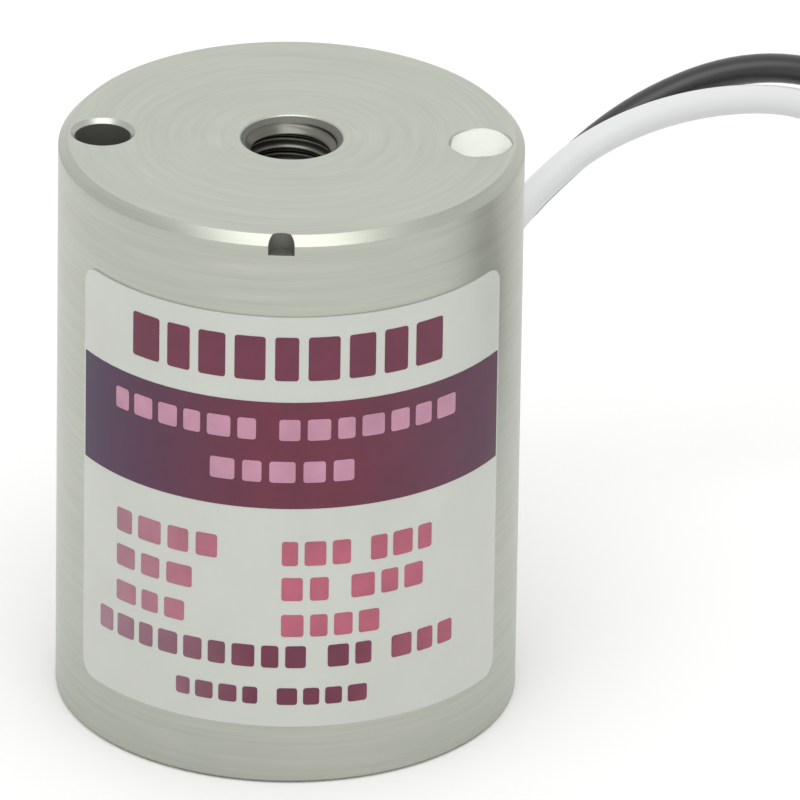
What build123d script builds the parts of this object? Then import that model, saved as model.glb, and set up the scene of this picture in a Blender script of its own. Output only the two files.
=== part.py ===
from build123d import *
from math import cos, radians, sin, tan
import os

# Holding electromagnet: a steel pot with a wound pole in it. Lengths are millimetres and angles degrees.
# It stands on its holding face at z = 0, with the mounting face on top and the label towards -Y.

# Pot
body_diameter = 20.0
body_height = 26.0
side_wall = 1.4
end_wall = 5.6
rim_chamfer = 0.4
foot_chamfer = 0.15

# Pole with its spigot, and the tapped hole that goes through the end wall into it
pole_diameter = 8.6
spigot_diameter = 6.0
spigot_length = 1.9
spigot_end_gap = 0.1
thread_diameter = 4.0
thread_depth = 8.0
thread_mouth_chamfer = 0.25
drill_tip_angle = 118.0

# Fill hole and vent hole in the mounting face, and the index notch in its rim
fill_hole_diameter = 2.4
fill_hole_inset = 1.9
fill_hole_chamfer = 0.2
fill_resin_below_face = 0.05
vent_resin_rise = 2.0
notch_diameter = 1.1
notch_depth = 0.8

# Brass ring that closes the holding face between the two poles
gap_ring_thickness = 1.6
gap_ring_recess = 0.2
gap_ring_step = 0.3
ring_clearance = 0.05

# Bobbin: hub, three flanges and the chamber for the lead joints
hub_wall = 0.5
hub_clearance = 0.1
flange_thickness = 0.7
flange_clearance = 0.3
chamber_height = 4.0
washer_thickness = 0.5
winding_recess = 0.9
tape_thickness = 0.2
resin_port_clearance = 0.1
tail_slot_diameter = 0.9
tail_diameter = 0.4
tail_bend_radius = 0.5

# Lead outlet: a rubber bush in the side wall, turned from +Y towards +X
outlet_angle = 40.0
bush_hole_diameter = 4.2
bush_clearance = 0.05
bush_flange_diameter = 5.4
bush_flange_proud = 0.6
bush_flange_chamfer = 0.2
bush_inner_reach = 0.25
lead_spacing = 1.6
lead_straight_out = 2.3

# Leads and the joints inside the chamber
lead_diameter = 1.3
# Every wire stays plain, with this many sides to its section
wire_sides = 10
joint_bend_inset = 1.3
joint_turn = 50.5
joint_run = 7.5
joint_bend_radius = 1.4
sleeve_diameter = 1.9
sleeve_length = 5.0
sleeve_cover = 2.5
strand_diameter = 0.56
strip_length = 4.5

# Coils in which the leads are put away, one on top of the other, both wound clockwise from their back
coil_centre = (44.2, 10.95)
coil_inner_turn_radius = 6.5
coil_pitch = 1.35
coil_layers = 2
coil_edge_chamfer = 0.4
coil_stub_length = 5.0
white_turns = 3.25
black_turns = 3.3
white_tail_points = [(8.0, 0.0)]
black_tail_points = [(5.2, 0.0), (8.4, -1.2), (11.4, -2.45), (14.4, -2.69)]

# Label
label_bottom = 2.8
label_top_gap = 3.7
label_span = 122.6
label_turn = 3.5
label_thickness = 0.08
label_corner_radius = 0.8

# Routes of the leads in the air, hand placed, from the end of their straight way out of the bush to the
# run that meets the coil
white_route = [
    (10.12, 11.66, 18.1), (12.85, 14.3, 19.63), (17.05, 16.6, 20.4), (21.67, 18.26, 19.93),
    (24.67, 19.06, 17.67), (26.6, 19.1, 13.7), (28.5, 19.1, 9.6), (30.4, 19.0, 6.1), (32.9, 18.9, 3.4),
    (36.0, 18.8, 2.025),
]
black_route = [
    (9.12, 12.52, 16.2), (10.65, 15.36, 16.92), (14.3, 18.0, 19.35), (18.86, 19.5, 20.86),
    (23.23, 19.98, 20.36), (26.4, 19.73, 17.6), (28.2, 19.3, 13.6), (29.9, 19.2, 10.3), (31.3, 19.1, 8.1),
    (33.4, 18.9, 5.95), (36.1, 18.8, 4.725),
]

# Places that follow from the sizes above
body_radius = body_diameter / 2
bore_radius = body_radius - side_wall
bore_top = body_height - end_wall
pole_radius = pole_diameter / 2
spigot_radius = spigot_diameter / 2
thread_radius = thread_diameter / 2
thread_mouth_radius = thread_radius + thread_mouth_chamfer
fill_hole_radius = fill_hole_diameter / 2
fill_hole_offset = body_radius - fill_hole_inset
ring_top = gap_ring_recess + gap_ring_thickness
ring_seat_radius = bore_radius + gap_ring_step
washer_bottom = bore_top - washer_thickness
bobbin_top = washer_bottom
chamber_top = bobbin_top - flange_thickness
chamber_bottom = chamber_top - chamber_height
winding_top = chamber_bottom - flange_thickness
winding_bottom = ring_top + flange_thickness
hub_bore_radius = pole_radius + hub_clearance
hub_radius = hub_bore_radius + hub_wall
flange_radius = bore_radius - flange_clearance
winding_radius = flange_radius - winding_recess
tape_radius = winding_radius + tape_thickness
lead_radius = lead_diameter / 2
outlet_height = (chamber_bottom + chamber_top) / 2
bush_face = body_radius + bush_flange_proud
outlet_plane = Plane(
    origin=(0, 0, outlet_height),
    x_dir=(cos(radians(outlet_angle)), -sin(radians(outlet_angle)), 0),
    z_dir=(sin(radians(outlet_angle)), cos(radians(outlet_angle)), 0),
)
label_height = body_height - label_top_gap - label_bottom
coil_turn_radii = [coil_inner_turn_radius + n * coil_pitch for n in range(coil_layers)]
coil_entry_radius = coil_turn_radii[-1]
coil_height = coil_layers * coil_pitch


def tube_between(outer, inner, low, high):
    """Upright tube about the Z axis, or a rod where the inner radius is zero."""
    tube = Pos(0, 0, low) * Cylinder(outer, high - low, align=(Align.CENTER, Align.CENTER, Align.MIN))
    if inner:
        tube -= Pos(0, 0, low) * Cylinder(inner, high - low, align=(Align.CENTER, Align.CENTER, Align.MIN))
    return tube


def radial_rod(radius, start, end):
    """Rod along the outlet's own axis, between two distances from the body's axis."""
    rod = Cylinder(radius, end - start, align=(Align.CENTER, Align.CENTER, Align.MIN))
    return outlet_plane * Pos(0, 0, start) * rod


def corner_radii(points):
    """For each corner of a route, the largest arc that its two runs allow."""
    radii = []
    for before, corner, after in zip(points, points[1:], points[2:]):
        run_in = Vector(corner) - Vector(before)
        run_out = Vector(after) - Vector(corner)
        turn = radians(run_in.get_angle(run_out))
        radii.append(0.45 * min(run_in.length, run_out.length) / tan(turn / 2))
    return radii


def wire_section(origin, direction, radius):
    """Plain section of a wire, square to its direction."""
    return Plane(origin=origin, z_dir=direction) * RegularPolygon(radius, wire_sides)


def lead_tube(points, radius, radii):
    """Wire along straight runs that are joined by tangent arcs."""
    path = FilletPolyline(*points, radius=radii) if radii else Polyline(*points)
    return sweep(wire_section(path @ 0, path % 0, radius), path=path), path.length


def outlet_point(shift, distance):
    """Point on one lead's axis in the outlet, as a world position."""
    return outlet_plane.from_local_coords((shift, 0, distance))


# Steel parts

def make_housing():
    """Pot turned from bar: side wall, thick end wall, ring seat, tapped hole, resin holes, outlet and notch."""
    profile = Polyline(
        (ring_seat_radius, 0),
        (body_radius - foot_chamfer, 0),
        (body_radius, foot_chamfer),
        (body_radius, body_height - rim_chamfer),
        (body_radius - rim_chamfer, body_height),
        (thread_mouth_radius, body_height),
        (thread_radius, body_height - thread_mouth_chamfer),
        (thread_radius, bore_top + spigot_length + spigot_end_gap),
        (spigot_radius, bore_top + spigot_length + spigot_end_gap),
        (spigot_radius, bore_top),
        (bore_radius, bore_top),
        (bore_radius, ring_top),
        (ring_seat_radius, ring_top),
        close=True,
    )
    housing = revolve(Plane.XZ * make_face(profile), Axis.Z)
    for side in (-1, 1):
        housing -= Pos(side * fill_hole_offset, 0, bore_top) * Cylinder(
            fill_hole_radius, end_wall, align=(Align.CENTER, Align.CENTER, Align.MIN)
        )
        housing -= Pos(side * fill_hole_offset, 0, body_height - fill_hole_chamfer) * Cone(
            fill_hole_radius,
            fill_hole_radius + fill_hole_chamfer,
            fill_hole_chamfer,
            align=(Align.CENTER, Align.CENTER, Align.MIN),
        )
    housing -= radial_rod(bush_hole_diameter / 2, bore_radius - side_wall, body_radius + side_wall)
    housing -= Pos(0, -body_radius, body_height - notch_depth) * Cylinder(
        notch_diameter / 2, end_wall, align=(Align.CENTER, Align.CENTER, Align.MIN)
    )
    return housing


def make_core():
    """Pole with a spigot that is pressed into the end wall, tapped from the mounting face."""
    thread_end = body_height - thread_depth
    tip_length = thread_radius / tan(radians(drill_tip_angle / 2))
    profile = Polyline(
        (0, 0),
        (pole_radius - foot_chamfer, 0),
        (pole_radius, foot_chamfer),
        (pole_radius, bore_top),
        (spigot_radius, bore_top),
        (spigot_radius, bore_top + spigot_length),
        (thread_radius, bore_top + spigot_length),
        (thread_radius, thread_end),
        (0, thread_end - tip_length),
        close=True,
    )
    return revolve(Plane.XZ * make_face(profile), Axis.Z)


def make_gap_ring():
    """Brass ring pressed against the step in the pot's mouth, a little below the ground holding face."""
    return tube_between(
        ring_seat_radius - ring_clearance, pole_radius + ring_clearance, gap_ring_recess, ring_top
    )


# Winding and its insulation

def resin_ports(low, high):
    """The two rods of space under the fill hole and the vent hole."""
    port_radius = fill_hole_radius + resin_port_clearance
    rod = Cylinder(port_radius, high - low, align=(Align.CENTER, Align.CENTER, Align.MIN))
    return [Pos(side * fill_hole_offset, 0, low) * rod for side in (-1, 1)]


def make_bobbin():
    """Moulded spool: hub and three flanges, with resin ports and two slots for the coil's ends."""
    profile = Polyline(
        (hub_bore_radius, ring_top),
        (flange_radius, ring_top),
        (flange_radius, winding_bottom),
        (hub_radius, winding_bottom),
        (hub_radius, winding_top),
        (flange_radius, winding_top),
        (flange_radius, chamber_bottom),
        (hub_radius, chamber_bottom),
        (hub_radius, chamber_top),
        (flange_radius, chamber_top),
        (flange_radius, bobbin_top),
        (hub_bore_radius, bobbin_top),
        close=True,
    )
    bobbin = revolve(Plane.XZ * make_face(profile), Axis.Z)
    for port in resin_ports(winding_top, bobbin_top):
        bobbin -= port
    for side in (-1, 1):
        x, y, _ = tail_place(side)
        bobbin -= Pos(x, y, winding_top) * Cylinder(
            tail_slot_diameter / 2, flange_thickness, align=(Align.CENTER, Align.CENTER, Align.MIN)
        )
    return bobbin


def make_washer():
    """Insulating washer between the bobbin and the end wall, with the same resin ports."""
    washer = tube_between(flange_radius, hub_bore_radius, washer_bottom, bore_top)
    for port in resin_ports(washer_bottom, bore_top):
        washer -= port
    return washer


def make_winding():
    """All turns of enamelled wire as one ring."""
    return tube_between(winding_radius, hub_radius, winding_bottom, winding_top)


def make_tape():
    """Polyester tape round the winding."""
    return tube_between(tape_radius, winding_radius, winding_bottom, winding_top)


# Lead outlet and the joints in the chamber

def joint_points(side):
    """Route of one lead from the bush's face into the chamber, turned aside past the hub."""
    shift = side * lead_spacing / 2
    bend = bore_radius - joint_bend_inset
    turn = radians(joint_turn)
    return [
        outlet_point(shift, bush_face),
        outlet_point(shift, bend),
        outlet_point(shift + side * joint_run * sin(turn), bend - joint_run * cos(turn)),
    ]


def joint_axis(side):
    """Start and direction of the joint's straight part, measured from its sleeve's outer end."""
    _, bend, end = joint_points(side)
    direction = (end - bend).normalized()
    return end - direction * (tail_bend_radius + sleeve_length), direction


def tail_place(side):
    """Point where the coil's end turns down to the winding, just past its sleeve."""
    return tuple(joint_points(side)[-1])


def rod_along(start, direction, radius, length):
    """Round rod from a point along a direction."""
    return extrude(Plane(origin=start, z_dir=direction) * Circle(radius), amount=length)


def wire_along(start, direction, radius, length):
    """Straight wire from a point along a direction."""
    return extrude(wire_section(start, direction, radius), amount=length)


def make_bush():
    """Rubber bush: a sleeve through the side wall and a flange that is seated on the pot's round outside."""
    bush = radial_rod(bush_hole_diameter / 2 - bush_clearance, bore_radius - bush_inner_reach, bush_face)
    flange = radial_rod(bush_flange_diameter / 2, bore_radius, bush_face)
    flange -= tube_between(body_radius, 0, 0, body_height)
    rim = flange.edges().filter_by(GeomType.CIRCLE).sort_by(outlet_axis())[-1]
    bush += chamfer(rim, bush_flange_chamfer)
    for side in (-1, 1):
        bush -= make_inner_lead(side)
    return bush


def outlet_axis():
    """Axis of the outlet, pointing out of the body."""
    return Axis((0, 0, outlet_height), tuple(outlet_plane.z_dir))


def make_inner_lead(side):
    """Insulated lead from the bush's face to the inside of its sleeve."""
    start, direction = joint_axis(side)
    points = joint_points(side)[:2] + [start + direction * sleeve_cover]
    return lead_tube(points, lead_radius, [joint_bend_radius])[0]


def make_sleeve(side):
    """Shrunk sleeve over the soldered joint, tight round the lead and round the coil's wire."""
    start, direction = joint_axis(side)
    sleeve = rod_along(start, direction, sleeve_diameter / 2, sleeve_length)
    return sleeve - make_inner_lead(side) - make_tail(side)


def make_tail(side):
    """End of the coil's wire: down out of the sleeve, through the middle flange to the winding."""
    start, direction = joint_axis(side)
    x, y, z = tail_place(side)
    points = [start + direction * sleeve_cover, (x, y, z), (x, y, winding_top)]
    return lead_tube(points, tail_diameter / 2, [tail_bend_radius])[0]


def make_resin(inner_pieces):
    """White potting resin: everything between the pot and what it holds, up into the fill and vent holes."""
    resin = tube_between(bore_radius, hub_radius, ring_top, bore_top)
    heights = {-1: bore_top + vent_resin_rise, 1: body_height - fill_resin_below_face}
    for side, top in heights.items():
        resin += Pos(side * fill_hole_offset, 0, bore_top) * Cylinder(
            fill_hole_radius, top - bore_top, align=(Align.CENTER, Align.CENTER, Align.MIN)
        )
    for piece in inner_pieces:
        resin -= piece
    return resin


# Leads outside the body

def coil_level(stack, layer):
    """Height of a lead's axis in one layer of one coil."""
    return stack * coil_height + (layer + 0.5) * coil_pitch


def coil_entry(stack):
    """Point on the back of a coil's outer, upper turn where its lead comes in, running towards +X."""
    return Vector(coil_centre[0], coil_centre[1] + coil_entry_radius, coil_level(stack, coil_layers - 1))


def free_lead(side, stack, route):
    """Points of a lead's way from the bush's face to the stub of its coil."""
    meet = coil_entry(stack) - Vector(coil_stub_length, 0, 0)
    straight = [outlet_point(side * lead_spacing / 2, bush_face + out) for out in (0, lead_straight_out)]
    return straight + [Vector(*place) for place in route] + [meet]


def coil_end(stack, turns):
    """Point and direction in which a lead leaves its coil's outer, lower turn."""
    angle = radians(90 - 360 * turns)
    place = Vector(
        coil_centre[0] + coil_entry_radius * cos(angle),
        coil_centre[1] + coil_entry_radius * sin(angle),
        coil_level(stack, 0),
    )
    return place, Vector(sin(angle), -cos(angle), 0)


def tail_route(stack, turns, steps):
    """Points of the lead's last stretch, given as distance along its direction and change of height."""
    place, direction = coil_end(stack, turns)
    return [place] + [place + direction * along + Vector(0, 0, rise) for along, rise in steps]


def make_coil(stack, turns, steps):
    """Outer shape of one coil, with the stub that its lead meets and the lead's free end."""
    ring = tube_between(
        coil_turn_radii[-1] + coil_pitch / 2,
        coil_inner_turn_radius - coil_pitch / 2,
        stack * coil_height,
        (stack + 1) * coil_height,
    )
    ring = chamfer(ring.edges(), coil_edge_chamfer)
    coil = Pos(coil_centre[0], coil_centre[1], 0) * ring
    stub_start = coil_entry(stack) - Vector(coil_stub_length, 0, 0)
    coil += wire_along(stub_start, (1, 0, 0), lead_radius, coil_stub_length)
    route = tail_route(stack, turns, steps)
    radii = corner_radii(route)
    print("  free end's radii", [round(radius, 1) for radius in radii])
    coil += lead_tube(route, lead_radius, radii)[0]
    return coil


def make_tip(stack, turns, steps):
    """Tinned strands of a lead's stripped end."""
    route = tail_route(stack, turns, steps)
    direction = (route[-1] - route[-2]).normalized()
    return wire_along(route[-1], direction, strand_diameter / 2, strip_length)


def make_label():
    """Film label round the front of the pot."""
    label = Pos(0, 0, label_bottom) * Rot(0, 0, label_turn - 90 - label_span / 2) * Cylinder(
        body_radius + label_thickness,
        label_height,
        arc_size=label_span,
        align=(Align.NONE, Align.NONE, Align.MIN),
    )
    label -= tube_between(body_radius, 0, label_bottom, label_bottom + label_height)
    corners = [e for e in label.edges().filter_by(GeomType.LINE) if abs((e % 0).Z) < 0.5]
    return fillet(corners, label_corner_radius)


def report_route(name, points):
    """Print a lead's length, its bend radii and how its tube's volume compares with section times length."""
    radii = corner_radii(points)
    tube, length = lead_tube(points, lead_radius, radii)
    ratio = tube.volume / (wire_section((0, 0, 0), (0, 0, 1), lead_radius).area * length)
    runs = [(b - a).length for a, b in zip(points, points[1:])]
    print(name, "length", round(length, 1), "volume ratio", round(ratio, 4))
    print("  runs", [round(run, 1) for run in runs], "radii", [round(radius, 1) for radius in radii])
    return tube


def build():
    """All nodes by name."""
    parts = {
        "housing": make_housing(),
        "core": make_core(),
        "pole_gap_ring": make_gap_ring(),
        "bobbin": make_bobbin(),
        "coil_winding": make_winding(),
        "winding_tape": make_tape(),
        "insulating_washer": make_washer(),
        "lead_bush": make_bush(),
    }
    for side, colour, end in ((1, "white", "start"), (-1, "black", "finish")):
        parts["inner_lead_" + colour] = make_inner_lead(side)
        parts["splice_sleeve_" + colour] = make_sleeve(side)
        parts["coil_tail_" + end] = make_tail(side)
    parts["potting_resin"] = make_resin([part for name, part in parts.items() if name != "housing"])
    parts["label"] = make_label()
    leads = (
        (1, "white", 0, white_route, white_turns, white_tail_points),
        (-1, "black", 1, black_route, black_turns, black_tail_points),
    )
    for side, colour, stack, route, turns, steps in leads:
        points = free_lead(side, stack, route)
        parts["lead_" + colour] = report_route("lead_" + colour, points)
        parts["lead_" + colour + "_coil"] = make_coil(stack, turns, steps)
        parts["lead_" + colour + "_tip"] = make_tip(stack, turns, steps)
    return parts


parts = build()
if __name__ == "__main__":
    os.makedirs("parts", exist_ok=True)
    for name, part in parts.items():
        export_step(part, "parts/" + name + ".step")
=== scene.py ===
"""Looks of a small holding electromagnet: finishes, thread, resin bead, label print, leads and plain studio.

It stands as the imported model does, in metres, with the mounting face on top and the label towards -Y.
"""

from math import cos, pi, radians, sin

import bpy
import numpy as np
from bpy.props import FloatProperty, FloatVectorProperty, IntProperty, PointerProperty
from mathutils import Matrix, Vector


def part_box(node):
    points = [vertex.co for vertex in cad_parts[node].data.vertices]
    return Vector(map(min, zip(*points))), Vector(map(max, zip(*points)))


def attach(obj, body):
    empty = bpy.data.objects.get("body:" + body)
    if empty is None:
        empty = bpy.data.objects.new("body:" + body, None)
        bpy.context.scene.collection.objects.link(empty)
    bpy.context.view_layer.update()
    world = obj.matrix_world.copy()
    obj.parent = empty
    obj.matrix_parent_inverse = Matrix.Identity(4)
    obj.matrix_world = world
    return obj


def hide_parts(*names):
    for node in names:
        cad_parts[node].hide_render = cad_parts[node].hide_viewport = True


bl_info = {
    "name": "Holding Electromagnet",
    "version": (1, 0, 0),
    "blender": (4, 5, 0),
    "location": "3D View > Sidebar > Magnet",
    "description": "Dresses the packed model of a small holding electromagnet and sets it in a plain studio",
    "category": "Object",
}

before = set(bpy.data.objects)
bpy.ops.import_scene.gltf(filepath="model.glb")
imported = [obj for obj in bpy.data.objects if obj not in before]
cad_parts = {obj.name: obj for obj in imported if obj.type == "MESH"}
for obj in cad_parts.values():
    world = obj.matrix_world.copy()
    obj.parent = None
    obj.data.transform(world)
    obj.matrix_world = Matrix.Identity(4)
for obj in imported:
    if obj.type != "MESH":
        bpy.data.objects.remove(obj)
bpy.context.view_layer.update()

BODY = "root"
MM = 0.001
BODY_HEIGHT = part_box("housing")[1].z
BODY_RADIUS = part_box("housing")[1].x
LABEL_RADIUS = -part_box("label")[0].y
HOLE_OFFSET = 0.0081
IMAGE_SIDE = 800

# Upright round zones of the pot, the holes and the notch, where a darker colour is painted as their shade:
# centre, radius and foot. Each is a hair wider than its hole, but for the tapped hole's, which ends inside its
# chamfer's bright edge.
RECESS_SHADE_ZONES = (
    ((0, 0, 0), 0.0022, 0.0), ((HOLE_OFFSET, 0, 0), 0.00121, 0.0), ((-HOLE_OFFSET, 0, 0), 0.00121, 0.0),
    ((0, -BODY_RADIUS, 0), 0.00057, 0.02519),
)

# Where the print's colour changes from the label's left to its middle, and from there to its right, as shares
# of the body's radius
LEFT_CHANGE = (-0.85, -0.1)
RIGHT_CHANGE = (0.3, 0.85)

# Noises of the turning marks: across the marks in their spacing, round the axis, and detail
MARK_NOISES = {"Lines": (1.0, 1.6, 3.0), "Rings": (0.11, 0.7, 4.0), "Streaks": (0.45, 1.5, 3.0)}

# Upward share of a normal from which a turned surface counts as a flat face
FLAT_TILT = 0.8

# Height of the grain's noise against that of the turning lines
GRAIN_SHARE = 0.35

# Waves round the resin bead: size, number and start of each, for its rim and for its height
RIM_WAVES = ((0.035, 3, 0.6), (0.02, 7, 2.1))
HEIGHT_WAVES = ((0.16, 2, 0.9), (0.07, 5, 0.0))

# Share of the bead's radius from which its rim is wavy, and how sharply its height falls towards the rim
RIM_START = 0.8
CROWN_POWER = 2.6

# Part of the thread's triangle wave over which a tooth rises from its root to its crest
TOOTH_RISE = (0.04, 0.92)

# Routes of the leads from the bush to the run that meets the coil
WHITE_ROUTE = [
    (0.007426, 0.007606, 0.0172), (0.008905, 0.009368, 0.0172), (0.01012, 0.01166, 0.0181),
    (0.01285, 0.0143, 0.01963), (0.01705, 0.0166, 0.0204), (0.02167, 0.01826, 0.01993),
    (0.02467, 0.01906, 0.01767), (0.0266, 0.0191, 0.0137), (0.0285, 0.0191, 0.0096),
    (0.0304, 0.0190, 0.0061), (0.0329, 0.0189, 0.0034), (0.0360, 0.0188, 0.002025),
    (0.0392, 0.0188, 0.002025),
]
BLACK_ROUTE = [
    (0.006201, 0.008634, 0.0172), (0.007679, 0.010396, 0.0172), (0.00912, 0.01252, 0.0162),
    (0.01065, 0.01536, 0.01692), (0.0143, 0.0180, 0.01935), (0.01886, 0.0195, 0.02086),
    (0.02323, 0.01998, 0.02036), (0.0264, 0.01973, 0.0176), (0.0282, 0.0193, 0.0136),
    (0.0299, 0.0192, 0.0103), (0.0313, 0.0191, 0.0081), (0.0334, 0.0189, 0.00595),
    (0.0361, 0.0188, 0.004725), (0.0392, 0.0188, 0.004725),
]

# Free ends past the coils: distance along the end's direction, and change of height
WHITE_TAIL = [(0.0080, 0.0)]
BLACK_TAIL = [(0.0052, 0.0), (0.0084, -0.0012), (0.0114, -0.00245), (0.0144, -0.00269)]

# The two leads: name, route, free end, place of the coil in the stack, its turns, and the real length
LEADS = (
    ("white", WHITE_ROUTE, WHITE_TAIL, 0, 3.25, 0.2050),
    ("black", BLACK_ROUTE, BLACK_TAIL, 1, 3.30, 0.2150),
)

# Where a coil changes, by its turn count: in to the inner turn, down to the lower layer, out to the outer turn
STEP_IN = (0.833, 0.944)
STEP_DOWN = (1.78, 1.93)
STEP_OUT = (2.70, 2.86)

# How close the strands lie to the middle one, where 1 just touches, and how far they spread at their ends
STRAND_PRESS = 0.97
STRAND_FLARE = 0.05

# Blocks of print: change of width from one to the next, gap to the next in a group, and gap between groups,
# as shares of a block's width, and largest corner radius in millimetres
BLOCK_CHANGE = 0.16
BLOCK_GAP = 0.34
GROUP_GAP = 1.1
BLOCK_CORNER = 0.12

# Print on the label. Rows of plain blocks: middle height and block height in millimetres, first and last
# angle from the label's middle in degrees, and how many blocks stand in each group of the row.
HEADING_ROWS = [(20.35, 2.05, -42.5, 39.0, [9])]
BAND_ROWS = [(17.0, 1.0, -48.0, 43.5, [6, 7]), (15.0, 1.0, -20.5, 15.0, [5])]
TABLE_ROWS = [
    (11.2, 1.1, -47.5, -18.5, [4]), (9.5, 1.0, -47.5, -25.0, [3]), (7.8, 0.95, -47.5, -27.0, [3]),
    (11.1, 1.15, -2.5, 36.5, [3, 3]), (9.4, 1.1, -2.5, 34.0, [2, 3]), (7.65, 1.05, -2.5, 22.0, [4]),
]
FOOT_ROWS = [(6.15, 1.05, -53.5, 43.5, [9, 2, 3]), (4.25, 0.8, -29.0, 19.0, [4, 4])]


def linear(red, green, blue):
    """Scene colour of a screen colour that is given in steps of 255."""
    screen = np.array([red, green, blue]) / 255
    return tuple(np.where(screen <= 0.04045, screen / 12.92, ((screen + 0.055) / 1.055) ** 2.4))


def colour(name, description, red, green, blue):
    """Colour property with a default that is given as a screen colour."""
    return FloatVectorProperty(
        name=name, description=description, default=linear(red, green, blue), size=3, min=0, max=1,
        subtype="COLOR",
    )


def length(name, description, default):
    """Length property, in metres."""
    return FloatProperty(name=name, description=description, default=default, precision=5, unit="LENGTH")


def turn(name, description, degrees):
    """Angle property with a default in degrees."""
    return FloatProperty(name=name, description=description, default=radians(degrees), unit="ROTATION")


def share(name, description, default):
    """Property from 0 to 1."""
    return FloatProperty(name=name, description=description, default=default, min=0, max=1, subtype="FACTOR")


def level(name, description, default):
    """Brightness property."""
    return FloatProperty(name=name, description=description, default=default, min=0)


def pixels(name, description, default):
    """Place in the picture, in pixels."""
    return FloatProperty(name=name, description=description, default=default, subtype="PIXEL")


def whole(name, description, default, least):
    """Count with a least value."""
    return IntProperty(name=name, description=description, default=default, min=least)


# Sizes and colours that a user may change

class SteelSettings(bpy.types.PropertyGroup):
    """Finish of the turned steel, the brass ring and the tapped hole's thread."""

    plating: colour("Plating", "Colour of the plated pot", 177, 180, 169)
    # Recess shade: a darker colour painted as shade in the holes and the notch, and on the thread in the
    # tapped hole.
    recess_shade: colour("Bare", "Colour of the holes and the notch, cut after plating", 106, 106, 99)
    pole: colour("Pole", "Colour of the bare pole", 176, 176, 172)
    brass: colour("Brass", "Colour of the ring between the poles", 214, 184, 110)
    roughness: share("Roughness", "Mean roughness of the plating", 0.36)
    bright_roughness: share("Bright Roughness", "Mean roughness of the pole, the ring and the thread", 0.3)
    gloss_change: share("Gloss Change", "Change of roughness from place to place", 0.06)
    ring_contrast: share("Ring Contrast", "Change of tone from one broad ring to the next", 0.08)
    patch_contrast: share("Patch Contrast", "Change of tone of the plating's patches", 0.08)
    streak_contrast: share("Streak Contrast", "Change of tone of the streaks round the axis", 0.1)
    line_contrast: share("Line Contrast", "Change of tone of the fine turning lines", 0.09)
    patch_size: length("Patch Size", "Size of the plating's patches", 0.007)
    # Metallic and roughness of the holes and the notch, where the recess shade is painted.
    recess_metallic: share("Cut Metallic", "How metallic the surfaces look that were cut after plating", 0.45)
    recess_roughness: share("Cut Roughness", "Roughness that those surfaces have on top of the plating's", 0.2)
    mark_spacing: length("Mark Spacing", "Width of one turning mark", 0.00012)
    mark_depth: length("Mark Depth", "Depth of the turning marks", 0.0000016)
    edge_round: length("Edge Round", "Radius to which sharp edges look broken", 0.00005)
    thread_root_radius: length("Thread Root", "Radius at the bottom of the thread's grooves", 0.001975)
    thread_crest_radius: length("Thread Crest", "Radius at the thread's crests", 0.00163)
    thread_pitch: length("Thread Pitch", "Rise of the thread in one turn", 0.0007)
    thread_depth: length("Thread Depth", "How deep the thread reaches below the mounting face", 0.008)
    thread_backing: length("Thread Backing", "Metal behind the thread's grooves", 0.000012)
    rows_per_pitch: whole("Rows per Pitch", "Mesh rows in one turn of the thread", 20, 8)
    mouth_radius: length("Mouth Radius", "Radius of the tapped hole's chamfered mouth", 0.00225)
    mouth_chamfer: length("Mouth Chamfer", "Height of the pot's own chamfer at that mouth", 0.00025)


class InsideSettings(bpy.types.PropertyGroup):
    """Colours of the pieces inside the pot, and of the bush."""

    bobbin: colour("Bobbin", "Colour of the moulded bobbin", 226, 220, 200)
    bush: colour("Bush", "Colour of the rubber bush", 176, 182, 178)
    tape: colour("Tape", "Colour of the tape round the winding", 206, 140, 48)
    washer: colour("Washer", "Colour of the insulating washer", 222, 216, 190)
    sleeve: colour("Sleeve", "Colour of the sleeves over the joints", 228, 228, 224)
    copper: colour("Copper", "Colour of the enamelled wire", 206, 104, 56)
    copper_shade: colour("Copper Shade", "Colour of the wire's darker patches", 150, 62, 30)
    # Painted shade in the grooves between the turns of the winding.
    turn_gap_shade: colour("Copper Gap", "Colour between two turns of the wire", 90, 34, 18)
    wire_pitch: length("Wire Pitch", "Distance between neighbouring turns of the winding", 0.0002)
    wire_relief: length("Wire Relief", "Depth between neighbouring turns of the winding", 0.00003)


class PottingSettings(bpy.types.PropertyGroup):
    """Resin bead that stands in the fill hole."""

    resin: colour("Resin", "Colour of the potting resin", 215, 219, 210)
    bead_centre: length("Bead Centre", "Distance of the fill hole from the body's axis", HOLE_OFFSET)
    bead_radius: length("Bead Radius", "Radius of the bead on the mounting face", 0.00132)
    bead_height: length("Bead Height", "How far the bead stands up from the resin in the hole", 0.00056)
    bead_run: share("Bead Run", "Share by which the bead has run out forward", 0.2)
    bead_foot: length("Bead Foot", "Height of the resin under the bead, below the face", 0.0001)


class LabelSettings(bpy.types.PropertyGroup):
    """Film label and its print."""

    film: colour("Film", "Ground colour of the label", 190, 193, 185)
    ink: colour("Ink", "Colour of the heading and the rows", 98, 32, 58)
    faded_ink: colour("Faded Ink", "Colour of the table's left rows", 150, 112, 126)
    bright_ink: colour("Bright Ink", "Colour of the table's right rows", 168, 84, 104)
    pale_ink: colour("Pale Ink", "Colour of the rows on the band", 180, 130, 152)
    band_start: colour("Band Start", "Colour at the band's left end", 58, 37, 68)
    band_middle: colour("Band Middle", "Colour at the band's middle", 96, 27, 52)
    band_end: colour("Band End", "Colour at the band's right end", 80, 40, 64)
    band_bottom: length("Band Bottom", "Height of the band's lower edge", 0.01325)
    band_top: length("Band Top", "Height of the band's upper edge", 0.0183)
    band_margin: turn("Band Margin", "Angle between the band's ends and the label's", 0.6)
    band_corner: length("Band Corner", "Radius of the band's corners", 0.00005)
    print_thickness: length("Print Thickness", "How far the print stands on the film", 0.000012)
    middle: turn("Middle", "Where the label's middle is, from -Y towards +X", 3.5)
    span: turn("Span", "Angle that the label takes up", 122.6)


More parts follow.
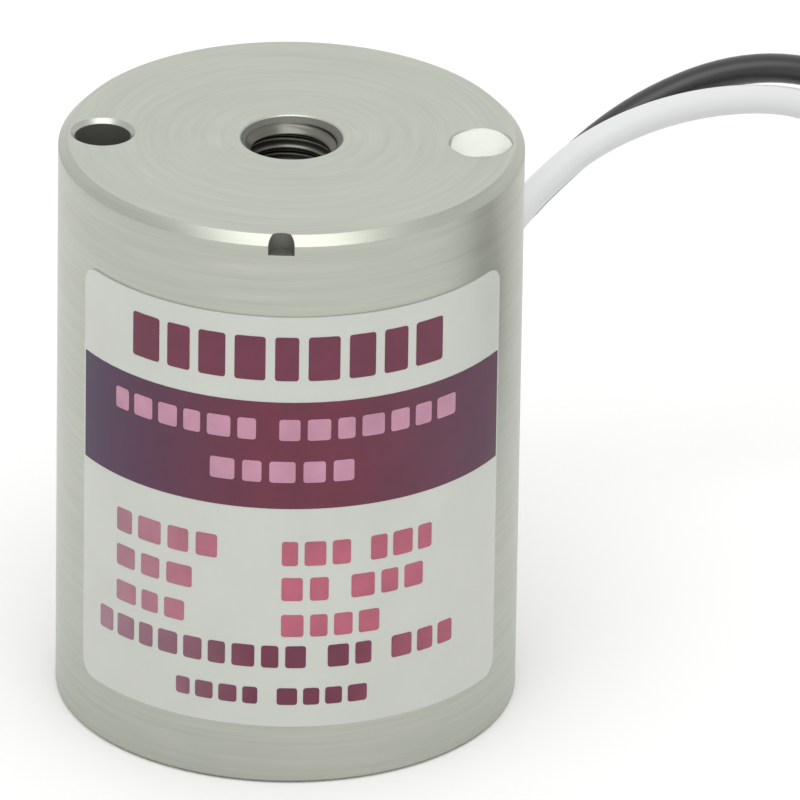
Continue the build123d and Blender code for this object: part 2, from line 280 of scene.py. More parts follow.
class LeadSettings(bpy.types.PropertyGroup):
    """The two leads, put away in two coils behind the magnet's right side."""

    white: colour("White", "Colour of the white insulation", 212, 214, 213)
    black: colour("Black", "Colour of the black insulation", 38, 37, 39)
    tin: colour("Tin", "Colour of the tinned strands", 205, 206, 204)
    diameter: length("Diameter", "Diameter over the insulation", 0.0013)
    coil_x: length("Coil X", "Middle of the coils", 0.0442)
    coil_y: length("Coil Y", "Middle of the coils", 0.01095)
    inner_turn: length("Inner Turn", "Radius of the coil's inner turns", 0.0065)
    coil_pitch: length("Coil Pitch", "Distance between neighbouring turns", 0.00135)
    points_per_turn: whole("Points per Turn", "Control points in one turn of a coil", 20, 12)
    strand_bundle: length("Strand Bundle", "Diameter of the stripped strands together", 0.00056)
    strand_hidden: length("Strand Hidden", "Length of the strands inside the insulation", 0.0003)
    strand_stagger: length("Strand Stagger", "By how much a strand is cut shorter than the next", 0.00005)
    strip_length: length("Strip Length", "Length of the stripped end", 0.0045)
    strand_twist: length("Strand Twist", "Length in which the strands turn once", 0.0032)


class StudioSettings(bpy.types.PropertyGroup):
    """Camera, floor and lights."""

    distance: length("Distance", "From the body's middle to the camera", 0.700)
    azimuth: turn("Azimuth", "Camera's turn from -Y towards +X", 2.2)
    elevation: turn("Elevation", "Camera's height above the floor", 26.43)
    roll: turn("Roll", "Camera's turn about its own axis", 0.88)
    field: length("Field", "Width of the view at the body's middle", 0.034524)
    middle_x: pixels("Middle X", "Where the body's middle is seen, from the picture's left edge", 288.5)
    middle_y: pixels("Middle Y", "Where the body's middle is seen, from the picture's upper edge", 408.6)
    floor: colour("Floor", "Colour of the floor", 244, 244, 243)
    floor_reach: length("Floor Reach", "Distance from the magnet to the floor's edges", 2.0)
    sky: level("Sky", "Brightness of the room", 1.05)
    sky_behind: level("Sky Behind", "Gain of brightness towards the back", 0.12)
    sky_sides: level("Sky Sides", "Loss of brightness to the left and right", 0.36)
    softbox: level("Softbox", "Brightness of the overhead softbox", 1.9)
    softbox_width: length("Softbox Width", "Width of the overhead softbox", 0.40)
    softbox_depth: length("Softbox Depth", "Depth of the overhead softbox", 0.34)
    softbox_height: length("Softbox Height", "Height of the softbox over the floor", 0.44)
    softbox_forward: length("Softbox Forward", "How far the softbox stands in front of the magnet", 0.20)


# Meshes from arrays

def smooth_step(value, start, end):
    """Number that goes smoothly from 0 at the start to 1 at the end."""
    way = np.clip((value - start) / (end - start), 0, 1)
    return way * way * (3 - 2 * way)


def quads(rows, columns, loop_rows=False, loop_columns=False):
    """Corner numbers of the cells of a grid of points, row after row, that may close on itself either way."""
    row = np.arange(rows if loop_rows else rows - 1)[:, None]
    column = np.arange(columns if loop_columns else columns - 1)[None, :]
    next_row = (row + 1) % rows
    next_column = (column + 1) % columns
    corners = [
        row * columns + column, row * columns + next_column, next_row * columns + next_column,
        next_row * columns + column,
    ]
    return np.stack([np.broadcast_to(c, (row.size, column.size)) for c in corners], axis=-1).reshape(-1, 4)


def closed_tube(rings):
    """Points and blocks of faces of a tube of closed rings, with a middle point at each end."""
    count, around, _ = rings.shape
    points = np.vstack([rings.reshape(-1, 3), rings[0].mean(axis=0), rings[-1].mean(axis=0)])
    here = np.arange(around)
    after = (here + 1) % around
    start = np.column_stack([np.full(around, count * around), after, here])
    last = (count - 1) * around
    end = np.column_stack([np.full(around, count * around + 1), last + here, last + after])
    return points, [quads(count, around, loop_columns=True), start, end]


def slab(front, back):
    """Points and blocks of faces of a thin closed piece between a front and a back grid that match."""
    rows, columns, _ = front.shape
    cells = quads(rows, columns)
    number = np.arange(rows * columns).reshape(rows, columns)
    rim = np.concatenate([number[0], number[1:, -1], number[-1, -2::-1], number[-2:0:-1, 0]])
    after = np.roll(rim, -1)
    offset = rows * columns
    walls = np.column_stack([rim, rim + offset, after + offset, after])
    points = np.vstack([front.reshape(-1, 3), back.reshape(-1, 3)])
    return points, [cells, cells[:, ::-1] + offset, walls]


def joined(parts):
    """Points and blocks of faces of several pieces as one mesh."""
    points, blocks, base = [], [], 0
    for part_points, part_blocks in parts:
        points.append(part_points)
        blocks += [block + base for block in part_blocks]
        base += len(part_points)
    return np.vstack(points), blocks


def add_piece(name, points, blocks, material, slot, sharp_angle=40):
    """New object that rides on the body, from points and blocks of faces.

    It is smooth but for its edges over the sharp angle, in degrees. The faces of a block have as many corners
    each.
    """
    mesh = bpy.data.meshes.new(name)
    mesh.from_pydata(points.tolist(), [], [face for block in blocks for face in block.tolist()])
    mesh.validate()
    mesh.materials.append(material)
    mesh.shade_smooth()
    mesh.set_sharp_from_angle(angle=radians(sharp_angle))
    piece = bpy.data.objects.new(name, mesh)
    bpy.context.scene.collection.objects.link(piece)
    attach(piece, BODY)
    return piece


# Node helpers and shared node groups

def add_node(tree, kind, inputs=None, **settings):
    """New node with its settings. An input is given a value, or is linked where it is given a socket."""
    made = tree.nodes.new(kind)
    for key, value in settings.items():
        setattr(made, key, value)
    for key, value in (inputs or {}).items():
        if isinstance(value, bpy.types.NodeSocket):
            tree.links.new(value, made.inputs[key])
        else:
            made.inputs[key].default_value = value
    return made


def maths(tree, operation, first, second=0.0):
    """Result of a sum, product or other operation on two numbers or sockets."""
    return add_node(tree, "ShaderNodeMath", {0: first, 1: second}, operation=operation).outputs[0]


def spread(tree, value, low, high):
    """Number from 0 to 1 carried to a range."""
    ends = {"To Min": low, "To Max": high}
    return add_node(tree, "ShaderNodeMapRange", {"Value": value, **ends}).outputs["Result"]


def mixed(tree, factor, first, second, blend_type="MIX"):
    """Colour mixed from two colours or sockets."""
    made = add_node(tree, "ShaderNodeMix", data_type="RGBA", blend_type=blend_type)
    for socket, value in zip([made.inputs[0], made.inputs[6], made.inputs[7]], [factor, first, second]):
        if isinstance(value, bpy.types.NodeSocket):
            tree.links.new(value, socket)
        else:
            socket.default_value = value
    return made.outputs[2]


def shared_group(name, inputs, outputs, fill):
    """Node group of that name, made once. fill gets the tree, its input sockets and its output sockets."""
    found = bpy.data.node_groups.get(name)
    if found:
        return found
    tree = bpy.data.node_groups.new(name, "ShaderNodeTree")
    for label, kind, value in inputs:
        socket = tree.interface.new_socket(label, in_out="INPUT", socket_type="NodeSocket" + kind)
        socket.default_value = value
    for label in outputs:
        tree.interface.new_socket(label, in_out="OUTPUT", socket_type="NodeSocketFloat")
    start = tree.nodes.new("NodeGroupInput")
    end = tree.nodes.new("NodeGroupOutput")
    for label, socket in fill(tree, start.outputs).items():
        tree.links.new(socket, end.inputs[label])
    return tree


def filled(tree, group, inputs):
    """Outputs of a group node with its inputs set or linked."""
    return add_node(tree, "ShaderNodeGroup", inputs, node_tree=group).outputs


def patches(tree, position, patch_size, grain_size):
    """Outputs of the soft patches at a position."""
    sizes = {"Patch Size": patch_size, "Grain Size": grain_size}
    return filled(tree, soft_patches(), {"Position": position, **sizes})


def raise_surface(tree, surface, height, depth, **more):
    """Bumps of that depth on a surface, where the height goes from 0 to 1."""
    bump = add_node(tree, "ShaderNodeBump", {"Strength": 1.0, "Distance": depth, "Height": height, **more})
    tree.links.new(bump.outputs[0], surface.inputs["Normal"])


def turning_marks():
    """Marks of a lathe's tool: fine lines round the axis, broad uneven rings, and streaks between the two.

    Each is a noise of three numbers: the way across the marks in their spacing, which is up the axis on a
    side and outwards on a flat face, and the two parts of the direction from the axis.
    """

    def fill(tree, given):
        height = add_node(tree, "ShaderNodeSeparateXYZ", {0: given["Position"]}).outputs["Z"]
        flat = add_node(
            tree, "ShaderNodeVectorMath", {0: given["Position"], 1: (1, 1, 0)}, operation="MULTIPLY"
        ).outputs[0]
        radius = add_node(tree, "ShaderNodeVectorMath", {0: flat}, operation="LENGTH").outputs["Value"]
        around = add_node(tree, "ShaderNodeVectorMath", {0: flat}, operation="NORMALIZE").outputs[0]
        heading = add_node(tree, "ShaderNodeSeparateXYZ", {0: around}).outputs
        along = add_node(
            tree, "ShaderNodeMix", {0: given["Facing"], 2: height, 3: radius}, data_type="FLOAT"
        ).outputs[0]
        across = maths(tree, "DIVIDE", along, given["Spacing"])
        marks = {}
        for name, (across_scale, around_scale, detail) in MARK_NOISES.items():
            place = add_node(tree, "ShaderNodeCombineXYZ", {
                0: maths(tree, "MULTIPLY", across, across_scale),
                1: maths(tree, "MULTIPLY", heading["X"], around_scale),
                2: maths(tree, "MULTIPLY", heading["Y"], around_scale),
            }).outputs[0]
            marks[name] = add_node(
                tree, "ShaderNodeTexNoise", {"Vector": place, "Scale": 1.0, "Detail": detail}
            ).outputs[0]
        return marks

    return shared_group(
        "Turning Marks",
        [("Position", "Vector", (0, 0, 0)), ("Facing", "Float", 0.0), ("Spacing", "Float", 0.0001)],
        list(MARK_NOISES),
        fill,
    )


def round_zone():
    """Mask of an upright round zone above its foot: 1 inside, 0 outside, with a narrow soft edge."""

    def fill(tree, given):
        height = add_node(tree, "ShaderNodeSeparateXYZ", {0: given["Position"]}).outputs["Z"]
        above = maths(tree, "GREATER_THAN", height, given["Foot"])
        flat = add_node(
            tree, "ShaderNodeVectorMath", {0: given["Position"], 1: (1, 1, 0)}, operation="MULTIPLY"
        ).outputs[0]
        away = add_node(
            tree, "ShaderNodeVectorMath", {0: flat, 1: given["Centre"]}, operation="DISTANCE"
        ).outputs["Value"]
        inside = add_node(
            tree, "ShaderNodeMapRange",
            {"Value": maths(tree, "SUBTRACT", given["Radius"], away), "From Min": 0.0, "From Max": 0.00001},
        )
        return {"Mask": maths(tree, "MULTIPLY", inside.outputs["Result"], above)}

    return shared_group(
        "Round Zone",
        [("Position", "Vector", (0, 0, 0)), ("Centre", "Vector", (0, 0, 0)),
         ("Radius", "Float", 0.001), ("Foot", "Float", 0.0)],
        ["Mask"],
        fill,
    )


def soft_patches():
    """Slow uneven patches, as handling, plating and moulding leave, and a fine grain over them."""

    def fill(tree, given):
        slow = maths(tree, "DIVIDE", 1.0, given["Patch Size"])
        quick = maths(tree, "DIVIDE", 1.0, given["Grain Size"])
        patch = add_node(
            tree, "ShaderNodeTexNoise",
            {"Vector": given["Position"], "Scale": slow, "Detail": 3.0, "Roughness": 0.55},
        ).outputs[0]
        grain = add_node(
            tree, "ShaderNodeTexNoise", {"Vector": given["Position"], "Scale": quick, "Detail": 2.0}
        ).outputs[0]
        return {"Patches": patch, "Grain": grain}

    return shared_group(
        "Soft Patches",
        [("Position", "Vector", (0, 0, 0)), ("Patch Size", "Float", 0.004), ("Grain Size", "Float", 0.0002)],
        ["Patches", "Grain"],
        fill,
    )


def grey_ramp(tree, value, low, high):
    """Grey that goes from a low to a high brightness with a number from 0 to 1."""
    grey = spread(tree, value, low, high)
    return add_node(tree, "ShaderNodeCombineColor", {0: grey, 1: grey, 2: grey}).outputs[0]


def rgba(value):
    """Colour with full alpha."""
    return (*value[:3], 1.0)


def shaded(value, factor):
    """Colour made lighter or darker by a factor."""
    return (*[min(1.0, part * factor) for part in value[:3]], 1.0)


def new_material(name):
    """Material with an empty tree, its surface shader and the position in the object."""
    material = bpy.data.materials.new(name)
    material.use_nodes = True
    tree = material.node_tree
    tree.nodes.clear()
    surface = tree.nodes.new("ShaderNodeBsdfPrincipled")
    output = tree.nodes.new("ShaderNodeOutputMaterial")
    tree.links.new(surface.outputs[0], output.inputs["Surface"])
    position = tree.nodes.new("ShaderNodeTexCoord").outputs["Object"]
    return material, tree, surface, position


def turned_metal(steel, name, base, roughness, fineness=1.0, zones=()):
    """Metal turned on a lathe: lines and rings round the axis, edges broken, a slow unevenness of the finish.

    Its marks are as fine as the fineness says, against the pot's. Zones are upright round ones, the holes and
    the notch, where a darker colour is painted as their shade: centre, radius and foot of each.
    """
    material, tree, surface, position = new_material(name)
    normal = add_node(tree, "ShaderNodeNewGeometry").outputs["Normal"]
    tilt = add_node(tree, "ShaderNodeSeparateXYZ", {0: normal}).outputs["Z"]
    facing = maths(tree, "GREATER_THAN", maths(tree, "ABSOLUTE", tilt), FLAT_TILT)
    spacing = steel.mark_spacing * fineness
    marks = filled(tree, turning_marks(), {"Position": position, "Facing": facing, "Spacing": spacing})
    film = patches(tree, position, steel.patch_size, spacing)
    tone = rgba(base)
    for value, contrast in (
        (marks["Rings"], steel.ring_contrast), (film["Patches"], steel.patch_contrast),
        (marks["Streaks"], steel.streak_contrast), (marks["Lines"], steel.line_contrast),
    ):
        tone = mixed(tree, 1.0, tone, grey_ramp(tree, value, 1 - contrast, 1 + contrast), "MULTIPLY")
    gloss = steel.gloss_change
    rough = maths(
        tree, "ADD", spread(tree, marks["Rings"], roughness - gloss, roughness + gloss),
        spread(tree, film["Patches"], -gloss, gloss),
    )
    surface.inputs["Metallic"].default_value = 1.0
    if zones:
        cut = 0.0
        for centre, radius, foot in zones:
            place = {"Position": position, "Centre": centre, "Radius": radius, "Foot": foot}
            cut = maths(tree, "MAXIMUM", cut, filled(tree, round_zone(), place)["Mask"])
        # Painted shade: cut masks the holes and the notch, which take the darker recess colour.
        tone = mixed(tree, cut, tone, rgba(steel.recess_shade))
        tree.links.new(spread(tree, cut, 1.0, steel.recess_metallic), surface.inputs["Metallic"])
        rough = maths(tree, "ADD", rough, maths(tree, "MULTIPLY", cut, steel.recess_roughness))
    tree.links.new(tone, surface.inputs["Base Color"])
    tree.links.new(rough, surface.inputs["Roughness"])
    edge = add_node(tree, "ShaderNodeBevel", {"Radius": steel.edge_round * fineness}, samples=4).outputs[0]
    height = maths(tree, "ADD", marks["Lines"], maths(tree, "MULTIPLY", film["Grain"], GRAIN_SHARE))
    raise_surface(tree, surface, height, steel.mark_depth * fineness, Normal=edge)
    return material


def plain_plastic(
    name, base, roughness, patch_size=0.004, grain_size=0.00015, grain_depth=0.000002, contrast=0.1,
    gloss=0.08,
):
    """Moulded, extruded or cast plastic: a slow change of tone and gloss, and a fine grain."""
    material, tree, surface, position = new_material(name)
    film = patches(tree, position, patch_size, grain_size)
    tone = mixed(tree, film["Patches"], shaded(base, 1 - contrast), shaded(base, 1 + contrast))
    rough = spread(tree, film["Patches"], roughness - gloss, roughness + gloss)
    tree.links.new(tone, surface.inputs["Base Color"])
    tree.links.new(rough, surface.inputs["Roughness"])
    raise_surface(tree, surface, film["Grain"], grain_depth)
    return material, surface


def dress(node, material):
    """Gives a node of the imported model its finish."""
    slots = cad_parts[node].material_slots
    if not slots:
        raise RuntimeError(f"{node} has no material slot")
    for slot in slots:
        slot.material = material


# Operators: steel and thread

class MAGNET_OT_finish_metal(bpy.types.Operator):
    """Finish the pot, the pole and the brass ring as turned metal"""

    bl_idname = "magnet.finish_metal"
    bl_label = "Finish Metal"

    def execute(self, context):
        steel = context.scene.magnet_steel
        plated = turned_metal(steel, "plating_finish", steel.plating, steel.roughness, zones=RECESS_SHADE_ZONES)
        dress("housing", plated)
        dress("core", turned_metal(steel, "pole_finish", steel.pole, steel.bright_roughness))
        dress("pole_gap_ring", turned_metal(steel, "ring_finish", steel.brass, steel.bright_roughness))
        return {"FINISHED"}


def thread_rings(steel, top):
    """Rings of the tapped hole's wall, from the bottom up, and then of its hidden back, from the top down.

    The wall's radius is the root radius less a tooth. The tooth is a triangle wave of height over pitch minus
    turn, rounded at its crest and its root and faded out at the bottom. The radius is no less than that of
    the mouth's cone. The back is a little wider than the root.
    """
    bottom = BODY_HEIGHT - steel.thread_depth
    steps = int((top - bottom) / steel.thread_pitch * steel.rows_per_pitch)
    height = np.linspace(bottom, top, steps)[:, None]
    angle = np.linspace(0, 2 * pi, 96, endpoint=False)[None, :]
    wave = np.abs(2 * ((height / steel.thread_pitch - angle / (2 * pi)) % 1) - 1)
    tooth = smooth_step(wave, *TOOTH_RISE)
    fade = np.clip((height - bottom) / steel.thread_pitch, 0, 1)
    depth = steel.thread_root_radius - steel.thread_crest_radius
    radius = steel.thread_root_radius - depth * tooth * fade
    cone = steel.mouth_radius - (BODY_HEIGHT - height)
    radius = np.minimum(np.maximum(radius, cone), steel.thread_root_radius)
    back_radius = np.full((2, angle.size), steel.thread_root_radius + steel.thread_backing)
    radius = np.concatenate([radius, back_radius])
    height = np.concatenate([height, height[[-1, 0]]]) + 0 * angle
    return np.stack([radius * np.cos(angle), radius * np.sin(angle), height], axis=-1)


class MAGNET_OT_cut_thread(bpy.types.Operator):
    """Line the tapped hole with its thread"""

    bl_idname = "magnet.cut_thread"
    bl_label = "Cut Thread"

    def execute(self, context):
        steel = context.scene.magnet_steel
        rings = thread_rings(steel, BODY_HEIGHT - steel.mouth_chamfer)
        rows, columns, _ = rings.shape
        blocks = [quads(rows, columns, loop_rows=True, loop_columns=True)[:, ::-1]]
        # The thread takes the darker recess colour, painted as the tapped hole's shade.
        finish = turned_metal(steel, "thread_finish", steel.recess_shade, steel.bright_roughness, fineness=0.5)
        add_piece("mounting_thread", rings.reshape(-1, 3), blocks, finish, "plated_steel", sharp_angle=180)
        return {"FINISHED"}


# Operators: potting and insulation

def resin_finish(potting):
    """Cast potting resin, with a little light in it. The filling and its bead share it."""
    found = bpy.data.materials.get("resin_finish")
    if found:
        return found
    material, surface = plain_plastic(
        "resin_finish", potting.resin, 0.42, patch_size=0.0012, grain_size=0.0001, contrast=0.05
    )
    surface.inputs["Subsurface Weight"].default_value = 0.15
    surface.inputs["Subsurface Scale"].default_value = 0.0004
    return material


class MAGNET_OT_finish_inside(bpy.types.Operator):
    """Finish the bobbin, winding, insulation, joints, resin and bush"""

    bl_idname = "magnet.finish_inside"
    bl_label = "Finish Inside"

    def execute(self, context):
        leads = context.scene.magnet_leads
        inside = context.scene.magnet_inside
        dress("potting_resin", resin_finish(context.scene.magnet_potting))
        dress("bobbin", plain_plastic("bobbin_finish", inside.bobbin, 0.45)[0])
        dress("lead_bush", plain_plastic("bush_finish", inside.bush, 0.55, contrast=0.12)[0])
        tape, tape_surface = plain_plastic("tape_finish", inside.tape, 0.25, contrast=0.2)
        tape_surface.inputs["Coat Weight"].default_value = 0.3
        dress("winding_tape", tape)
        dress("insulating_washer", plain_plastic("washer_finish", inside.washer, 0.4)[0])
        sleeve = plain_plastic("sleeve_finish", inside.sleeve, 0.4)[0]
        for lead, base in (("white", leads.white), ("black", leads.black)):
            dress("splice_sleeve_" + lead, sleeve)
            dress("inner_lead_" + lead, plain_plastic(lead + "_inner_lead_finish", base, 0.4)[0])
        wire = wound_wire(inside)
        for node in ("coil_winding", "coil_tail_start", "coil_tail_finish"):
            dress(node, wire)
        return {"FINISHED"}


def wound_wire(inside):
    """Enamelled copper wire laid turn beside turn: round ridges along the axis, and a clear glossy enamel."""
    material, tree, surface, position = new_material("winding_finish")
    height = add_node(tree, "ShaderNodeSeparateXYZ", {0: position}).outputs["Z"]
    wave = maths(tree, "SINE", maths(tree, "MULTIPLY", height, 2 * pi / inside.wire_pitch))
    film = patches(tree, position, 0.002, 0.0001)
    tone = mixed(tree, film["Patches"], rgba(inside.copper_shade), rgba(inside.copper))
    # Painted shade: up to a fifth of the dark gap colour where the wave is low, in the grooves between turns.
    between = spread(tree, wave, 0.2, 0.0)
    tree.links.new(mixed(tree, between, tone, rgba(inside.turn_gap_shade)), surface.inputs["Base Color"])
    surface.inputs["Metallic"].default_value = 0.85
    surface.inputs["Coat Weight"].default_value = 0.6
    tree.links.new(spread(tree, film["Patches"], 0.2, 0.36), surface.inputs["Roughness"])
    raise_surface(tree, surface, wave, inside.wire_relief)
    return material


def waves_round(angle, waves):
    """Sum of sines round a circle, each with its size, number and start."""
    return sum(size * np.sin(number * angle + start) for size, number, start in waves)


def bead_rings(potting):
    """Rings of the bead: a short skirt that stands in the hole, and then the crown from its rim to its top.

    A ring's radius is its share of the bead's, with small waves near the rim and more of it towards the
    front, where the resin has run. The height is one less a power of the share, made a little uneven.
    """
    outward = np.linspace(0.02, 1, 22)[::-1, None]
    angle = np.linspace(0, 2 * pi, 64, endpoint=False)[None, :]
    near_rim = np.clip((outward - RIM_START) / (1 - RIM_START), 0, 1)
    wave = 1 + near_rim * waves_round(angle, RIM_WAVES)
    run = 1 + potting.bead_run * outward * np.maximum(0, -np.sin(angle + 0.3)) ** 2
    radius = potting.bead_radius * outward * run * wave
    crown_height = potting.bead_height * (1 - outward**CROWN_POWER)
    uneven = 1 + outward * waves_round(angle, HEIGHT_WAVES)
    height = BODY_HEIGHT - potting.bead_foot + crown_height * uneven
    crown = np.stack([potting.bead_centre + radius * np.cos(angle), radius * np.sin(angle), height], axis=-1)
    return np.concatenate([crown[:1] - np.array([0, 0, potting.bead_foot]), crown])


class MAGNET_OT_pour_bead(bpy.types.Operator):
    """Add the bead of potting resin that stands in the fill hole"""

    bl_idname = "magnet.pour_bead"
    bl_label = "Pour Bead"

    def execute(self, context):
        potting = context.scene.magnet_potting
        bead = closed_tube(bead_rings(potting))
        add_piece("fill_resin_bead", *bead, resin_finish(potting), "white_resin", sharp_angle=70)
        return {"FINISHED"}


# Operators: label

def curved_patch(start, end, bottom, top, corner, inner, outer, middle):
    """Patch with round corners on the label, as a closed slab between two radii.

    Columns run from the start to the end angle, closer together at the ends. A column's ends are drawn in by
    the corner's circle where the column is nearer to an end than the corner's radius.
    """
    columns = max(9, int((end - start) / radians(1.6)) + 9)
    ease = (1 - np.cos(np.linspace(0, pi, columns))) / 2
    angle = start + (end - start) * ease
    reach = np.minimum(angle - start, end - angle) * outer
    inset = corner - np.sqrt(np.maximum(corner**2 - np.maximum(corner - reach, 0) ** 2, 0))
    up = np.linspace(0, 1, 5)[:, None]
    height = (bottom + inset) * (1 - up) + (top - inset) * up
    heading = (middle + angle - pi / 2)[None, :] + 0 * up
    return slab(*[
        np.stack([radius * np.cos(heading), radius * np.sin(heading), height], axis=-1)
        for radius in (outer, inner)
    ])


def block_row(row, inner, outer, middle):
    """One row of print: blocks of slightly different widths, with wider gaps between its groups."""
    centre, height, first, last, groups = row
    number = np.arange(sum(groups))
    widths = 1 + BLOCK_CHANGE * np.sin(2.4 * number + centre)
    gaps = np.full(len(number), BLOCK_GAP)
    gaps[np.cumsum(groups) - 1] = GROUP_GAP
    stops = np.concatenate([[0], np.cumsum(np.column_stack([widths, gaps]).ravel())])[:-1]
    angles = radians(first) + radians(last - first) * stops / stops[-1]
    bottom = (centre - height / 2) * MM
    top = (centre + height / 2) * MM
    corner = min(BLOCK_CORNER, height / 5) * MM
    return [
        curved_patch(start, end, bottom, top, corner, inner, outer, middle)
        for start, end in zip(angles[0::2], angles[1::2])
    ]


def printed(name, start_colour, middle_colour, end_colour, roughness):
    """Ink whose colour changes from the label's left over its middle to its right, a little uneven."""
    material, tree, surface, position = new_material(name)
    sideways = add_node(tree, "ShaderNodeSeparateXYZ", {0: position}).outputs["X"]
    across = maths(tree, "DIVIDE", sideways, BODY_RADIUS)
    left, right = (
        add_node(
            tree, "ShaderNodeMapRange", {"Value": across, "From Min": start, "From Max": end}
        ).outputs["Result"]
        for start, end in (LEFT_CHANGE, RIGHT_CHANGE)
    )
    film = patches(tree, position, 0.0016, 0.00008)
    ink = mixed(tree, right, mixed(tree, left, rgba(start_colour), rgba(middle_colour)), rgba(end_colour))
    tone = mixed(tree, 1.0, ink, grey_ramp(tree, film["Patches"], 0.7, 1.3), "MULTIPLY")
    tree.links.new(tone, surface.inputs["Base Color"])
    rough = spread(tree, film["Patches"], roughness - 0.08, roughness + 0.1)
    tree.links.new(rough, surface.inputs["Roughness"])
    raise_surface(tree, surface, film["Grain"], 0.000002)
    return material


class MAGNET_OT_print_label(bpy.types.Operator):
    """Finish the film label and print its band and its rows of plain blocks"""

    bl_idname = "magnet.print_label"
    bl_label = "Print Label"

    def execute(self, context):
        label = context.scene.magnet_label
        film, surface = plain_plastic(
            "label_finish", label.film, 0.34, patch_size=0.003, grain_size=0.00007, contrast=0.06
        )
        surface.inputs["Coat Weight"].default_value = 0.25
        surface.inputs["Coat Roughness"].default_value = 0.2
        dress("label", film)
        inner = LABEL_RADIUS - label.print_thickness
        outer = LABEL_RADIUS + label.print_thickness
        reach = label.span / 2 - label.band_margin
        band = curved_patch(
            -reach, reach, label.band_bottom, label.band_top, label.band_corner, inner, outer, label.middle
        )
        band_ink = printed("band_ink", label.band_start, label.band_middle, label.band_end, 0.48)
        add_piece("label_band", *band, band_ink, "label_film")
        inks = (
            ("label_heading", HEADING_ROWS, (label.ink, label.ink, label.ink), 1),
            ("label_band_rows", BAND_ROWS, (label.pale_ink, label.pale_ink, label.pale_ink), 2),
            ("label_table_rows", TABLE_ROWS, (label.faded_ink, label.bright_ink, label.bright_ink), 1),
            ("label_foot_rows", FOOT_ROWS, (label.faded_ink, label.ink, label.bright_ink), 1),
        )
        for name, rows, colours, layer in inks:
            top = LABEL_RADIUS + layer * label.print_thickness
            blocks = [block for row in rows for block in block_row(row, inner, top, label.middle)]
            add_piece(name, *joined(blocks), printed(name + "_ink", *colours, 0.4), "label_film")
        return {"FINISHED"}


# Operators: leads

def coil_points(leads, stack, turns):
    """Control points of a coil: outer and inner turn of the upper layer, then inner and outer turn below.

    The turn count runs clockwise from the back of the coil. A point stands outside the turn's circle by the
    cosine of half a step, because the spline touches the middle of each step. Radius and height change in
    smooth steps just before each full turn, in the order that keeps neighbouring turns a diameter apart.
    """
    step = 1 / leads.points_per_turn
    count = np.arange(round(turns * leads.points_per_turn)) * step + step / 2
    outward = 1 - smooth_step(count, *STEP_IN) + smooth_step(count, *STEP_OUT)
    radius = (leads.inner_turn + leads.coil_pitch * outward) / cos(pi * step)
    upper = 1 - smooth_step(count, *STEP_DOWN)
    height = leads.coil_pitch * (2 * stack + 0.5 + upper)
    angle = pi / 2 - 2 * pi * count
    x = leads.coil_x + radius * np.cos(angle)
    y = leads.coil_y + radius * np.sin(angle)
    return np.column_stack([x, y, height])


def tail_points(leads, stack, turns, steps):
    """Points of a lead's free end, straight on from where it leaves its coil's lower outer turn."""
    angle = pi / 2 - 2 * pi * turns
    radius = leads.inner_turn + leads.coil_pitch
    place = np.array([
        leads.coil_x + radius * cos(angle), leads.coil_y + radius * sin(angle),
        leads.coil_pitch * (2 * stack + 0.5),
    ])
    direction = np.array([sin(angle), -cos(angle), 0])
    upward = np.array([0, 0, 1])
    return np.array([place + direction * along + upward * rise for along, rise in steps])


def lead_curve(name, points, diameter, material):
    """Lead as one smooth spline with those control points."""
    curve = bpy.data.curves.new(name, "CURVE")
    curve.dimensions = "3D"
    spline = curve.splines.new("NURBS")
    spline.points.add(len(points) - 1)
    spline.points.foreach_set("co", np.column_stack([points, np.ones(len(points))]).ravel())
    spline.order_u = 3
    spline.use_endpoint_u = True
    spline.use_smooth = True
    curve.resolution_u = 8
    curve.bevel_depth = diameter / 2
    curve.bevel_resolution = 6
    curve.use_fill_caps = True
    curve.materials.append(material)
    piece = bpy.data.objects.new(name, curve)
    bpy.context.scene.collection.objects.link(piece)
    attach(piece, BODY)
    return piece


def strand_rings(start, direction, phase, offset, radius, reach, twist, flare):
    """Rings of one strand: circles along a helix about the lead's axis, a little wider at its free end."""
    along = np.linspace(0, reach, 36)[:, None]
    side = np.cross([0, 0, 1.0], direction)
    side /= np.linalg.norm(side)
    upward = np.cross(direction, side)
    angle = phase + 2 * pi * along / twist
    distance = offset * (1 + flare * smooth_step(along, 0.55 * reach, reach))
    centre = start + direction * along + distance * (np.cos(angle) * side + np.sin(angle) * upward)
    around = np.linspace(0, 2 * pi, 10, endpoint=False)[None, :, None]
    return centre[:, None, :] + radius * (np.cos(around) * side + np.sin(around) * upward)


def tin_finish(base):
    """Tinned copper strands: bright, with dull patches."""
    material, tree, surface, position = new_material("strand_finish")
    film = patches(tree, position, 0.0006, 0.00005)
    tone = mixed(tree, film["Patches"], shaded(base, 0.75), shaded(base, 1.1))
    tree.links.new(tone, surface.inputs["Base Color"])
    tree.links.new(spread(tree, film["Patches"], 0.18, 0.42), surface.inputs["Roughness"])
    surface.inputs["Metallic"].default_value = 1.0
    raise_surface(tree, surface, film["Grain"], 0.000004)
    return material


